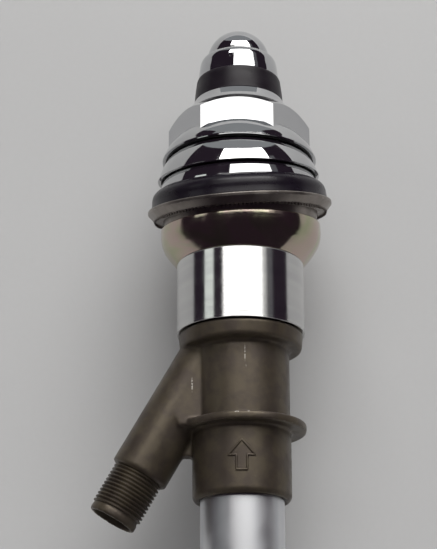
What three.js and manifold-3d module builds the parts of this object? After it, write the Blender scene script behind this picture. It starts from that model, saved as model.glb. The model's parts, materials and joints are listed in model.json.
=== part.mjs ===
// Retractable car aerial: a five-section telescopic mast in a wing-mounted head.
// Millimetres, +Z up along the mast, origin at the centre of the panel seat.
//
// The panel seat (chrome ring, rubber gasket, claw plate) is clamped to a sloping
// body panel, so it is drawn turned by SEAT_LEAN about LEAN_AXIS. All the mating
// faces of the head are spheres about the origin, which is what lets the mast lean.
import * as THREE from 'three';
import { mergeVertices } from 'three/addons/utils/BufferGeometryUtils.js';
import Module from 'manifold-3d';

const wasm = await Module();
wasm.setup();

// ---------------------------------------------------------------- dimensions
const SEAT_LEAN = 13.0; // degrees the seat is turned from the mast axis
const SHELL_LEAN = 7.8; // degrees the nested ball shells are turned
const LEAN_DIRECTION = -14.5; // degrees from +X to the lean axis

const OUTER_SEGMENTS = 32;
const INNER_SEGMENTS = 24;

// spheres about the origin, from the top of the head down
const NUT_CAVITY_R = 17.2;
const DOME_R = { outer: 17.0, inner: 16.5 };
const LINER_R = { outer: 16.45, inner: 16.25 };
const RING_R = { outer: 16.1, inner: 15.3 };
const CUP_R = { outer: 17.75, inner: 15.85 };
const HUB_R = { outer: 15.65, inner: 14.9 };
const SLEEVE_SEAT_R = 17.95;

// panel seat
const GASKET_TOP = 4.1;
const GASKET_R = 17.75;
const SEAT_HOLE_R = 11.0;
const PLATE_R = 18.4;
const PLATE_BOTTOM = -2.4;
const CLAW_TEETH = 18;

// head
const HEX_ACROSS_FLATS = 24.8;
const HEX_TURN = -1.8; // degrees
const NUT_TOP = 22.5;
const SKIRT_EDGE = 9.4;
const NECK = { outer: 8.0, inner: 7.0, top: 22.5, bottom: -34.0 };
const FERRULE_BASE = 27.5;
const TIP_BASE = 32.66;
const TIP_R = 6.4;
const TIP_CENTRE = 32.2;

// body
const SLEEVE = { outer: 12.5, bore: 10.2, top: -12.88, bottom: -27.2 };
const HOUSING_BORE_R = 8.08;
const BRANCH_ANGLE = 30; // degrees from the mast axis
const BRANCH_ORIGIN_Z = -20.65; // where the two axes cross
const BRANCH_R = 5.66;
const THREAD = { crest: 4.97, root: 4.52, pitch: 0.75, start: 39.6, turns: 11 };
const BRANCH_END = 49.4;
const SOCKET_R = 4.0;
const TUBE = { outer: 8.0, inner: 7.25, top: -36.2, bottom: -222.0 };

// mast sections, outermost first; travel is how far each slides out
const SECTION_R = [4.2, 3.5, 2.8, 2.1, 1.4];
const SECTION_WALL = 0.4;
const SECTION_TOP = [30.6, 31.0, 31.4, 31.8, 36.48];
const SECTION_BOTTOM = [-200, -192, -184, -176, -168];
const FOOT_R = [6.2, 3.7, 3.0, 2.3, 1.6];

// ----------------------------------------------------------------- materials
const FINISH = {
  chrome: { color: 0xd4d6d8, roughness: 0.06, metalness: 1 },
  nickel: { color: 0xb9b8b2, roughness: 0.22, metalness: 1 },
  zinc: { color: 0x8e8c84, roughness: 0.42, metalness: 1 },
  chromate: { color: 0xb09a7c, roughness: 0.2, metalness: 1 },
  aluminium: { color: 0xd0d2d4, roughness: 0.3, metalness: 1 },
  bronzed: { color: 0x584d40, roughness: 0.5, metalness: 0.6 },
  steel: { color: 0x9a9ca0, roughness: 0.35, metalness: 1 },
  brass: { color: 0xb5924c, roughness: 0.32, metalness: 1 },
  blackPlastic: { color: 0x1d1a1f, roughness: 0.4, metalness: 0 },
  whitePlastic: { color: 0xd9d4c4, roughness: 0.5, metalness: 0 },
  rubber: { color: 0x17151a, roughness: 0.55, metalness: 0 },
  felt: { color: 0x4a463f, roughness: 1, metalness: 0 },
};

// ------------------------------------------------------------------- helpers
const radians = THREE.MathUtils.degToRad;

// area of a closed (radius, height) profile, positive when it runs anticlockwise
function profileArea(points) {
  let area = 0;
  points.forEach(([r0, z0], i) => {
    const [r1, z1] = points[(i + 1) % points.length];
    area += (r0 * z1 - r1 * z0) / 2;
  });
  return area;
}

// a turned solid: the closed profile is swept round the Z axis
function turned(profile, segments = OUTER_SEGMENTS) {
  const points = profileArea(profile) > 0 ? [...profile] : [...profile].reverse();
  const onAxis = points.findIndex(([r]) => r === 0);
  if (onAxis < 0) {
    points.push(points[0]);
  } else {
    // start and end on the axis, leaving out the edge that lies along it
    const last = points.findIndex(([r], i) => r === 0 && points[(i + 1) % points.length][0] > 0);
    points.push(...points.splice(0, last));
  }
  const path = points.map(([r, z]) => new THREE.Vector2(r, z));
  const geometry = new THREE.LatheGeometry(path, segments);
  return geometry.rotateX(Math.PI / 2);
}

// points on a sphere about the origin, from radius r0 to r1 (upper half, or lower)
function sphereArc(sphereR, r0, r1, steps, upper = true) {
  const a0 = Math.asin(r0 / sphereR);
  const a1 = Math.asin(r1 / sphereR);
  const sign = upper ? 1 : -1;
  return Array.from({ length: steps + 1 }, (_, i) => {
    const a = a0 + ((a1 - a0) * i) / steps;
    return [sphereR * Math.sin(a), sign * sphereR * Math.cos(a)];
  });
}

const radiusAt = (sphereR, z) => Math.sqrt(sphereR ** 2 - z ** 2);

function pipe(outer, inner, bottom, top, segments = INNER_SEGMENTS) {
  return turned([[inner, bottom], [outer, bottom], [outer, top], [inner, top]], segments);
}

function rod(radius, bottom, top, segments = INNER_SEGMENTS) {
  return turned([[0, bottom], [radius, bottom], [radius, top], [0, top]], segments);
}

// a straight-sided block: an (x, z) outline given a thickness along Y
function block(outline, halfWidth) {
  const shape = new THREE.Shape(outline.map(([x, z]) => new THREE.Vector2(x, z)));
  const options = { depth: 2 * halfWidth, bevelEnabled: false };
  const geometry = new THREE.ExtrudeGeometry(shape, options);
  return geometry.rotateX(Math.PI / 2).translate(0, halfWidth, 0);
}

function toManifold(geometry) {
  const bare = geometry.clone();
  bare.deleteAttribute('normal');
  bare.deleteAttribute('uv');
  const welded = mergeVertices(bare, 1e-5);
  const vertProperties = new Float32Array(welded.attributes.position.array);
  const triVerts = new Uint32Array(welded.index.array);
  return new wasm.Manifold(new wasm.Mesh({ numProp: 3, vertProperties, triVerts }));
}

function fromManifold(manifold) {
  const mesh = manifold.getMesh();
  const geometry = new THREE.BufferGeometry();
  geometry.setAttribute('position', new THREE.BufferAttribute(mesh.vertProperties, 3));
  geometry.setIndex(new THREE.BufferAttribute(mesh.triVerts, 1));
  geometry.computeVertexNormals();
  return geometry;
}

const union = (...shapes) => shapes.reduce((a, b) => a.add(b));

// places a shape modelled along +Z so that it runs out along the branch
function alongBranch(geometry) {
  return geometry
    .rotateY(Math.PI + radians(BRANCH_ANGLE))
    .translate(0, 0, BRANCH_ORIGIN_Z);
}

const aerial = new THREE.Group();
aerial.name = 'telescopic_aerial';

function lean(degrees) {
  const group = new THREE.Group();
  const a = radians(LEAN_DIRECTION);
  const axis = new THREE.Vector3(Math.cos(a), Math.sin(a), 0);
  group.quaternion.setFromAxisAngle(axis, radians(degrees));
  aerial.add(group);
  return group;
}

const seat = lean(SEAT_LEAN);
const shells = lean(SHELL_LEAN);

function add(name, geometry, finish, parent = aerial) {
  const material = new THREE.MeshStandardMaterial(FINISH[finish]);
  const mesh = new THREE.Mesh(geometry, material);
  mesh.name = name;
  parent.add(mesh);
}

// ---------------------------------------------------------------- panel seat
function escutcheonRing() {
  const base = GASKET_TOP + 0.02;
  const outer = radiusAt(RING_R.outer, base);
  const inner = radiusAt(RING_R.inner, base);
  return turned([
    ...sphereArc(RING_R.outer, outer, SEAT_HOLE_R + 0.2, 3),
    ...sphereArc(RING_R.inner, SEAT_HOLE_R + 0.2, inner, 3),
  ]);
}

function panelGasket() {
  return turned([
    [SEAT_HOLE_R, 0],
    [GASKET_R, 0],
    [GASKET_R - 0.25, 0.6],
    [17.4, 2.4],
    [17.0, 3.0],
    [15.66, GASKET_TOP],
    [SEAT_HOLE_R, GASKET_TOP],
  ]);
}

// flat disc on a ball hub; the lower lip is notched into claws that bite metal
function clawPlate() {
  const top = -0.02;
  const lip = 17.2;
  const hubTop = radiusAt(HUB_R.outer, PLATE_BOTTOM);
  const blank = toManifold(turned([
    [SEAT_HOLE_R + 0.2, top],
    [PLATE_R - 0.15, top],
    [PLATE_R, -0.2],
    [PLATE_R, -0.7],
    [lip, PLATE_BOTTOM],
    ...sphereArc(HUB_R.outer, hubTop, SEAT_HOLE_R + 0.2, 3, false),
    ...sphereArc(HUB_R.inner, SEAT_HOLE_R + 0.2, 13.6, 2, false),
    [SEAT_HOLE_R + 0.2, -4.6],
  ]));
  const notches = [];
  for (let i = 0; i < CLAW_TEETH; i += 1) {
    const notch = new THREE.BoxGeometry(1.2, 0.7, 0.8);
    notch.translate(lip + 0.25, 0, PLATE_BOTTOM + 0.2);
    notch.rotateZ((2 * Math.PI * i) / CLAW_TEETH);
    notches.push(toManifold(notch));
  }
  return fromManifold(blank.subtract(union(...notches)));
}

add('escutcheon_ring', escutcheonRing(), 'chrome', seat);
add('panel_gasket', panelGasket(), 'rubber', seat);
add('claw_plate', clawPlate(), 'zinc', seat);

// --------------------------------------------------------------- ball shells
const SHELL_HOLE_R = 10.6;
const SHELL_EDGE = 5.5;

function sphericalShell({ outer, inner }, edge, hole) {
  return turned([
    ...sphereArc(outer, radiusAt(outer, edge), hole, 3),
    ...sphereArc(inner, hole, radiusAt(inner, edge), 3),
  ]);
}

function seatCup() {
  const wall = 15.95;
  const rim = -4.5;
  const hole = 10.3;
  return turned([
    [wall, rim],
    ...sphereArc(CUP_R.outer, wall, hole, 3, false),
    ...sphereArc(CUP_R.inner, hole, radiusAt(CUP_R.inner, rim), 3, false),
  ]);
}

add('dome_washer', sphericalShell(DOME_R, SHELL_EDGE, SHELL_HOLE_R), 'chrome', shells);
add('dome_glide_liner', sphericalShell(LINER_R, SHELL_EDGE, SHELL_HOLE_R), 'blackPlastic', shells);
add('seat_cup', seatCup(), 'chromate', shells);

// --------------------------------------------------------------------- head
// a turned dome cut by six spanner flats, over a spherical skirt
function domeNut() {
  const flat = HEX_ACROSS_FLATS / 2;
  const corner = flat / Math.cos(Math.PI / 6);
  const hexagon = new THREE.CylinderGeometry(corner, corner, 16, 6);
  hexagon.rotateX(Math.PI / 2).rotateZ(Math.PI / 6 + Math.PI / 6 + radians(HEX_TURN));
  hexagon.translate(0, 0, 16);
  const crown = turned([
    [0, NUT_TOP],
    [9.1, NUT_TOP],
    [9.5, 20.9],
    [9.95, 20.75],
    [flat, 18.45],
    [14.35, 16.8],
    [15.2, 15.8],
    [15.2, 10.8],
    [0, 10.8],
  ]);
  const skirt = turned([
    [0, 15.0],
    [11.4, 14.85],
    [flat, 14.0],
    [13.45, 13.15],
    [14.35, 12.1],
    [15.05, 11.0],
    [15.4, 10.1],
    [15.5, SKIRT_EDGE],
    [0, SKIRT_EDGE],
  ]);
  const cavity = new THREE.SphereGeometry(NUT_CAVITY_R, OUTER_SEGMENTS, 24);
  cavity.rotateX(Math.PI / 2);
  const bore = rod(NECK.outer + 0.1, 5, 30, OUTER_SEGMENTS);
  const faceted = toManifold(crown).intersect(toManifold(hexagon));
  const body = faceted.add(toManifold(skirt));
  return fromManifold(body.subtract(toManifold(cavity)).subtract(toManifold(bore)));
}

function nutGlideRing() {
  const z = SKIRT_EDGE - 0.04;
  return turned([[14.45, z], [14.86, 8.75], [15.2, 8.75], [15.25, z]]);
}

function headInsulator() {
  return turned([
    [4.6, -20],
    [6.9, -20],
    [6.9, NECK.top + 0.02],
    [9.05, NECK.top + 0.02],
    [8.9, 24.4],
    [8.55, 27.1],
    [8.4, FERRULE_BASE - 0.02],
    [6.9, FERRULE_BASE - 0.02],
    [6.9, 28.4],
    [4.6, 28.4],
  ]);
}

function headFerrule() {
  return turned([
    [8.2, FERRULE_BASE],
    [8.1, 28.9],
    [7.95, 30.3],
    [7.85, 31.0],
    [7.65, 31.6],
    [7.35, 32.1],
    [6.9, 32.5],
    [6.2, 32.64],
    [4.6, 32.64],
    [4.6, 31.4],
    [6.6, 31.4],
    [6.6, 28.5],
    [7.0, 28.5],
    [7.0, FERRULE_BASE],
  ]);
}

add('dome_nut', domeNut(), 'chrome');
add('nut_glide_ring', nutGlideRing(), 'blackPlastic');
add('head_insulator', headInsulator(), 'blackPlastic');
add('head_ferrule', headFerrule(), 'chrome');
add('mast_wiper', pipe(6.5, 4.3, 28.55, 31.3), 'felt');
add('threaded_neck', pipe(NECK.outer, NECK.inner, NECK.bottom, NECK.top), 'steel');

// --------------------------------------------------------------------- body
function spacerSleeve() {
  return turned([
    ...sphereArc(SLEEVE_SEAT_R, SLEEVE.outer, SLEEVE.bore, 3, false),
    [SLEEVE.bore, SLEEVE.bottom],
    [SLEEVE.outer, SLEEVE.bottom],
  ]);
}

// the ridges of the lead thread, drawn as rings at their pitch
function leadThread() {
  const ridges = [];
  for (let i = 0; i < THREAD.turns; i += 1) {
    const s = THREAD.start + i * THREAD.pitch;
    ridges.push([THREAD.root, s], [THREAD.crest, s + THREAD.pitch / 2]);
  }
  const start = THREAD.start - 1;
  const end = THREAD.start + THREAD.turns * THREAD.pitch;
  const core = [[THREAD.root, end], [0, end]];
  return turned([[0, start], [THREAD.root, start], ...ridges, ...core], 14);
}

function branchStem() {
  return turned([
    [0, 11.5],
    [BRANCH_R, 11.5],
    [BRANCH_R, 39.1],
    [THREAD.root, 39.4],
    [0, 39.4],
  ], 20);
}

function branchCollar() {
  const end = THREAD.start + THREAD.turns * THREAD.pitch;
  return turned([
    [0, end - 0.5],
    [4.4, end - 0.5],
    [4.7, end + 0.1],
    [4.7, BRANCH_END - 0.25],
    [4.45, BRANCH_END],
    [0, BRANCH_END],
  ], 24);
}

function yHousing() {
  const barrel = turned([
    [0, -27.22],
    [12.0, -27.22],
    [12.1, -27.6],
    [11.95, -29.9],
    [11.6, -30.4],
    [9.4, -30.6],
    [9.35, -45.3],
    [9.5, -46.9],
    [9.45, -59.6],
    [8.95, -60.2],
    [0, -60.2],
  ]);
  const lowerFlange = turned([
    [0, -45.3],
    [12.0, -45.3],
    [12.15, -45.5],
    [12.15, -46.6],
    [11.9, -46.9],
    [0, -46.9],
  ]).translate(0.45, 0, 0);
  const fairing = block([[0, -30], [-5.4, -30], [-14.9, -46.5], [0, -46.5]], BRANCH_R - 0.02);
  const web = block([[0, -46], [-14.6, -46], [-17.4, -51.4], [0, -51.4]], 3);
  const arrow = block([[-2.2, -56.2], [2.2, -56.2], [0, -52.2]], 4.9).translate(0, -4.9, 0);
  const bore = rod(HOUSING_BORE_R, -62, -26, OUTER_SEGMENTS);
  const socket = alongBranch(rod(SOCKET_R, 12, 52, 24));
  const screwHole = rod(1.6, 6, 12).rotateX(-Math.PI / 2).translate(0, 0, -54);
  const solid = union(...[
    barrel, lowerFlange, fairing, web, arrow,
    alongBranch(branchStem()), alongBranch(leadThread()), alongBranch(branchCollar()),
  ].map(toManifold));
  const voids = union(...[bore, socket, screwHole].map(toManifold));
  return fromManifold(solid.subtract(voids));
}

const leadInsulator = pipe(SOCKET_R - 0.05, 1.3, 23.4, 43.5, INNER_SEGMENTS);
const leadPin = rod(1.2, 18.5, 44.0, 16);
const setScrew = rod(1.5, TUBE.outer + 0.05, 9.9, 16);

add('spacer_sleeve', spacerSleeve(), 'aluminium');
add('neck_bush', pipe(10.1, NECK.outer + 0.06, -27.1, -18), 'blackPlastic');
add('y_housing', yHousing(), 'bronzed');
add('lead_insulator', alongBranch(leadInsulator), 'whitePlastic');
add('lead_pin', alongBranch(leadPin), 'brass');
add('mast_contact_ring', pipe(7.9, 4.35, -36.0, -34.2), 'brass');
add('tube_set_screw', setScrew.rotateX(-Math.PI / 2).translate(0, 0, -54), 'steel');

// --------------------------------------------------------------- lower tube
function tubeEndPlug() {
  return turned([
    [1.6, -232],
    [2.6, -232],
    [2.9, -224.4],
    [7.6, -223.8],
    [7.9, -223.2],
    [7.9, TUBE.bottom - 0.03],
    [7.15, TUBE.bottom - 0.03],
    [7.15, -216.1],
    [1.6, -216.1],
  ], INNER_SEGMENTS);
}

add('lower_tube', pipe(TUBE.outer, TUBE.inner, TUBE.bottom, TUBE.top, 28), 'aluminium');
add('tube_liner', pipe(7.15, 6.35, -211.5, -38), 'whitePlastic');
add('foot_buffer', pipe(7.15, 3.0, -216, -212), 'rubber');
add('tube_end_plug', tubeEndPlug(), 'blackPlastic');

// --------------------------------------------------------------------- mast
// each section is a tube whose top lip is rolled in to hold the next foot
function mastSection(i) {
  const outer = SECTION_R[i];
  const top = SECTION_TOP[i];
  const bottom = SECTION_BOTTOM[i];
  if (i === SECTION_R.length - 1) return rod(outer, bottom, top, 20);
  const inner = outer - SECTION_WALL;
  const lip = SECTION_R[i + 1] + 0.13;
  return turned([
    [inner, bottom],
    [outer, bottom],
    [outer, top - 0.2],
    [outer - 0.1, top],
    [lip, top],
    [lip, top - 2],
    [inner, top - 2.3],
  ], 20);
}

// a brass foot: a flange that guides in the tube outside it, and a spigot
function mastFoot(i) {
  const shoulder = SECTION_BOTTOM[i] - 0.02;
  const flange = FOOT_R[i];
  if (i === SECTION_R.length - 1) return rod(flange, shoulder - 3.4, shoulder, 20);
  const spigot = SECTION_R[i] - SECTION_WALL - 0.05;
  return turned([
    [0, shoulder - 3.4],
    [flange, shoulder - 3.4],
    [flange, shoulder],
    [spigot, shoulder],
    [spigot, shoulder + 4],
    [0, shoulder + 4],
  ], 20);
}

SECTION_R.forEach((_, i) => {
  add(`mast_section_${i + 1}`, mastSection(i), 'nickel');
  add(`mast_foot_${i + 1}`, mastFoot(i), 'brass');
});

function mastTip() {
  const height = TIP_BASE - TIP_CENTRE;
  const first = Math.asin(height / TIP_R);
  const dome = Array.from({ length: 7 }, (_, i) => {
    const a = first + ((Math.PI / 2 - first) * i) / 6;
    return [i === 6 ? 0 : TIP_R * Math.cos(a), TIP_CENTRE + TIP_R * Math.sin(a)];
  });
  return turned([...dome, [0, 36.5], [1.46, 36.5], [1.46, TIP_BASE]], 20);
}

add('mast_tip', mastTip(), 'chrome');

export default aerial;
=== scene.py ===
# %% [markdown]
# # A retractable car aerial
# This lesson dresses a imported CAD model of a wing-mounted telescopic aerial. The CAD
# frame fixes where every piece sits and how it moves. Here each piece is made again
# as a smooth mesh at the same sizes, and gets a finish: polished chrome, black rubber,
# gold chromate, turned aluminium and a bronzed die casting.

# %% Load the frame
import json
import math

import bmesh
import bpy
import numpy as np
from mathutils import Matrix, Vector

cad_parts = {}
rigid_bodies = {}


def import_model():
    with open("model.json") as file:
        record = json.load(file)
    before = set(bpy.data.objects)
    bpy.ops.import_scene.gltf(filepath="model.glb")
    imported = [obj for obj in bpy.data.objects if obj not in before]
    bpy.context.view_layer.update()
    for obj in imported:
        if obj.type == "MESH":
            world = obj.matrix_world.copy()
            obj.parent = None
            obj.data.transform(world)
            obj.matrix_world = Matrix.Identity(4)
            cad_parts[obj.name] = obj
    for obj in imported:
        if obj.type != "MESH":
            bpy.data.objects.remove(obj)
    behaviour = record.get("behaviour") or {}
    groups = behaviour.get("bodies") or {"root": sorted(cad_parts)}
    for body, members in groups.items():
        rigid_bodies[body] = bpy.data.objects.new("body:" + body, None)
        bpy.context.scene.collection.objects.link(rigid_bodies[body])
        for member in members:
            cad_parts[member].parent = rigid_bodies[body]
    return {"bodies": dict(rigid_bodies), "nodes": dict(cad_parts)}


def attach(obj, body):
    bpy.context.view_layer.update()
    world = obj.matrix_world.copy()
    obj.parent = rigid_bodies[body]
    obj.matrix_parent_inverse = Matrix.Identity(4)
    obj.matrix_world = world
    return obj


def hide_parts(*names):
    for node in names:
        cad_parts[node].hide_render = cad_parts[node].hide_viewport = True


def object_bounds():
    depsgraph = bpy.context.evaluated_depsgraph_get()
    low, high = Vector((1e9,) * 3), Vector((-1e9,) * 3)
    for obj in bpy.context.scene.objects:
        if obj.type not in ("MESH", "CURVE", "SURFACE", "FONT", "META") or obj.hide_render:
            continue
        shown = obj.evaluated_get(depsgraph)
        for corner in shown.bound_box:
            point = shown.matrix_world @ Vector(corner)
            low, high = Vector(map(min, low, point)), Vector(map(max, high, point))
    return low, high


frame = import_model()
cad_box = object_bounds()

print("CAD box, mm:", [[round(c * 1000, 2) for c in corner] for corner in cad_box])

# %% [markdown]
# ## The camera
# A long lens from below and in front, because an aerial lying on a table is seen a
# little from its tube end. The sideways shift keeps the verticals parallel while the
# object sits right of the middle.

# %% Camera
MM = 0.001
AIM = Vector((0, 0, -14.40)) * MM
CAMERA_DISTANCE = 346.08 * MM
CAMERA_ELEVATION = math.radians(-19.789)
CAMERA_ROLL = math.radians(0.525)


def add_object(name, data):
    obj = bpy.data.objects.new(name, data)
    bpy.context.scene.collection.objects.link(obj)
    return obj


lens = bpy.data.cameras.new("long_lens")
lens.sensor_width = 36.0
lens.lens = 114.75
lens.shift_x = -0.0396
camera = add_object("camera", lens)
back = Vector((0, -math.cos(CAMERA_ELEVATION), math.sin(CAMERA_ELEVATION)))
camera.location = AIM + back * CAMERA_DISTANCE
aimed = (-back).to_track_quat("-Z", "Y").to_matrix().to_4x4()
camera.matrix_world = (
    Matrix.Translation(camera.location) @ aimed @ Matrix.Rotation(-CAMERA_ROLL, 4, "Z")
)
bpy.context.scene.camera = camera
bpy.context.scene.view_settings.view_transform = "Standard"
print("camera at, mm:", [round(c * 1000, 1) for c in camera.location])

# %% [markdown]
# ## Node helpers
# Shader and geometry trees are only nodes and wires. A few small helpers keep the
# later cells short: they feed a socket, add a node with its settings, open a group
# with named inputs and outputs, and place such a group inside a material.


# %% Node helpers
def feed(tree, socket, value):
    """Wires another socket into this one, or sets a plain value on it."""
    if isinstance(value, bpy.types.NodeSocket):
        tree.links.new(value, socket)
    else:
        socket.default_value = value


def add_node(tree, kind, settings=None, **values):
    """Adds a node; settings are its options, and _3=x feeds x to its input number 3."""
    node = tree.nodes.new(kind)
    for key, value in (settings or {}).items():
        setattr(node, key, value)
    for key, value in values.items():
        feed(tree, node.inputs[int(key[1:])], value)
    return node


def new_group(name, kind, inputs, outputs):
    group = bpy.data.node_groups.new(name, kind)
    for direction, sockets in (("INPUT", inputs), ("OUTPUT", outputs)):
        for label, (socket_type, default) in sockets.items():
            socket = group.interface.new_socket(
                name=label, in_out=direction, socket_type="NodeSocket" + socket_type
            )
            if default is not None:
                socket.default_value = default
    start = group.nodes.new("NodeGroupInput")
    end = group.nodes.new("NodeGroupOutput")
    return group, start.outputs, end.inputs


def use_group(tree, group, **values):
    node = tree.nodes.new("ShaderNodeGroup")
    node.node_tree = group
    for key, value in values.items():
        feed(tree, node.inputs[key], value)
    return node


def maths(tree, operation, a, b=0.5, c=0.5, clamp=False):
    settings = {"operation": operation, "use_clamp": clamp}
    return add_node(tree, "ShaderNodeMath", settings, _0=a, _1=b, _2=c).outputs[0]


def ranged(tree, value, low, high, to_low=0.0, to_high=1.0):
    """A smooth step from to_low to to_high as value goes from low to high."""
    node = add_node(tree, "ShaderNodeMapRange", {"interpolation_type": "SMOOTHSTEP"},
                    _0=value, _1=low, _2=high, _3=to_low, _4=to_high)
    return node.outputs[0]


def blend_colour(tree, mask, a, b):
    node = add_node(tree, "ShaderNodeMix", {"data_type": "RGBA"}, _0=mask, _6=a, _7=b)
    return node.outputs[2]


# %% [markdown]
# ## Shared surface effects
# Real finishes are never even. Turned and drawn metal carries fine parallel lines, a
# casting has a sandy skin, corners are rubbed bright and everything that is handled
# has smudges. Each effect is one group, used by many finishes with other values.
# All of them read `own_place`, the millimetre position that each mesh stores before
# it is put into the assembly, so that lines stay square to a piece's own axis.

# %% Group: fine parallel lines
line_group, line_in, line_out = new_group(
    "tool_lines", "ShaderNodeTree",
    {"Place": ("Vector", None), "Across": ("Float", 0.05), "Along": ("Float", 8.0)},
    {"Height": ("Float", None), "Band": ("Float", None)},
)
stretch = add_node(line_group, "ShaderNodeCombineXYZ", None,
                   _0=line_in["Across"], _1=line_in["Across"], _2=line_in["Along"])
lined = add_node(line_group, "ShaderNodeVectorMath", {"operation": "MULTIPLY"},
                 _0=line_in["Place"], _1=stretch.outputs[0])
fine = add_node(line_group, "ShaderNodeTexNoise", None, _0=lined.outputs[0],
                _2=1.0, _3=3.0, _4=0.7)
wide = add_node(line_group, "ShaderNodeTexNoise", None, _0=lined.outputs[0],
                _2=0.11, _3=2.0, _4=0.5)
line_group.links.new(fine.outputs[0], line_out["Height"])
line_group.links.new(ranged(line_group, wide.outputs[0], 0.35, 0.65), line_out["Band"])
print("made", line_group.name)

# %% Group: cast skin
cast_group, cast_in, cast_out = new_group(
    "cast_skin", "ShaderNodeTree",
    {"Place": ("Vector", None), "Grain": ("Float", 5.0), "Pits": ("Float", 0.9)},
    {"Height": ("Float", None), "Mottle": ("Float", None), "Pit": ("Float", None)},
)
sand = add_node(cast_group, "ShaderNodeTexNoise", None, _0=cast_in["Place"],
                _2=cast_in["Grain"], _3=4.0, _4=0.6)
cloud = add_node(cast_group, "ShaderNodeTexNoise", None, _0=cast_in["Place"],
                 _2=0.28, _3=3.0, _4=0.55)
cells = add_node(cast_group, "ShaderNodeTexVoronoi", None, _0=cast_in["Place"],
                 _2=cast_in["Pits"])
pit = ranged(cast_group, cells.outputs[0], 0.04, 0.16, 1.0, 0.0)
skin = maths(cast_group, "MULTIPLY_ADD", pit, -0.6, sand.outputs[0])
cast_group.links.new(skin, cast_out["Height"])
cast_group.links.new(ranged(cast_group, cloud.outputs[0], 0.36, 0.64), cast_out["Mottle"])
cast_group.links.new(pit, cast_out["Pit"])
print("made", cast_group.name)

# %% Group: rubbed corners
wear_group, wear_in, wear_out = new_group(
    "rubbed_corners", "ShaderNodeTree",
    {"Place": ("Vector", None), "Corner": ("Float", 0.0), "Amount": ("Float", 0.5)},
    {"Mask": ("Float", None)},
)
patchy = add_node(wear_group, "ShaderNodeTexNoise", None, _0=wear_in["Place"],
                  _2=1.3, _3=4.0, _4=0.7)
reach = maths(wear_group, "MULTIPLY", wear_in["Corner"], patchy.outputs[0])
start_at = maths(wear_group, "SUBTRACT", 0.8, wear_in["Amount"])
edge = maths(wear_group, "SUBTRACT", reach, start_at)
rubbed = maths(wear_group, "MULTIPLY", edge, 5.0, clamp=True)
wear_group.links.new(rubbed, wear_out["Mask"])
print("made", wear_group.name)

# %% Group: smudges and hairlines
smudge_group, smudge_in, smudge_out = new_group(
    "handling_marks", "ShaderNodeTree",
    {"Place": ("Vector", None), "Size": ("Float", 0.25)},
    {"Smudge": ("Float", None), "Hairline": ("Float", None), "Dust": ("Float", None)},
)
smear = add_node(smudge_group, "ShaderNodeTexNoise", None, _0=smudge_in["Place"],
                 _2=smudge_in["Size"], _3=3.0, _4=0.5, _8=0.8)
scuff = add_node(smudge_group, "ShaderNodeTexVoronoi", {"feature": "DISTANCE_TO_EDGE"},
                 _0=smudge_in["Place"], _2=0.35)
hair = ranged(smudge_group, scuff.outputs[0], 0.0, 0.012, 1.0, 0.0)
some = ranged(smudge_group, smear.outputs[0], 0.5, 0.62)
speck = add_node(smudge_group, "ShaderNodeTexVoronoi", None,
                 _0=smudge_in["Place"], _2=2.3)
dust = ranged(smudge_group, speck.outputs[0], 0.03, 0.1, 1.0, 0.0)
smudge_group.links.new(ranged(smudge_group, smear.outputs[0], 0.38, 0.66), smudge_out["Smudge"])
smudge_group.links.new(maths(smudge_group, "MULTIPLY", hair, some), smudge_out["Hairline"])
smudge_group.links.new(maths(smudge_group, "MULTIPLY", dust, some), smudge_out["Dust"])
print("made", smudge_group.name)

# %% Group: one small spot, for a nick and for a painted highlight
nick_and_highlight_group, nick_and_highlight_in, nick_and_highlight_out = new_group(
    "one_nick_and_highlight", "ShaderNodeTree",
    {"Place": ("Vector", None), "Centre": ("Vector", None), "Size": ("Vector", None)},
    {"Mask": ("Float", None)},
)
offset = add_node(nick_and_highlight_group, "ShaderNodeVectorMath", {"operation": "SUBTRACT"},
                  _0=nick_and_highlight_in["Place"], _1=nick_and_highlight_in["Centre"])
scaled = add_node(nick_and_highlight_group, "ShaderNodeVectorMath", {"operation": "DIVIDE"},
                  _0=offset.outputs[0], _1=nick_and_highlight_in["Size"])
far = add_node(nick_and_highlight_group, "ShaderNodeVectorMath", {"operation": "LENGTH"},
               _0=scaled.outputs[0])
nick_and_highlight_group.links.new(ranged(nick_and_highlight_group, far.outputs[1], 0.6, 1.0, 1.0, 0.0), nick_and_highlight_out["Mask"])
print("made", nick_and_highlight_group.name)

# %% [markdown]
# ## Finishes
# One function lays out every finish: two tones mixed by a slow mottle, bright metal
# or paler plastic on the corners, roughness lifted by smudges, and a bump from the
# grain. What differs is the numbers, which are the finish's own character.


# %% Finish builder
def rgba(colour):
    return (*colour, 1.0)


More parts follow.
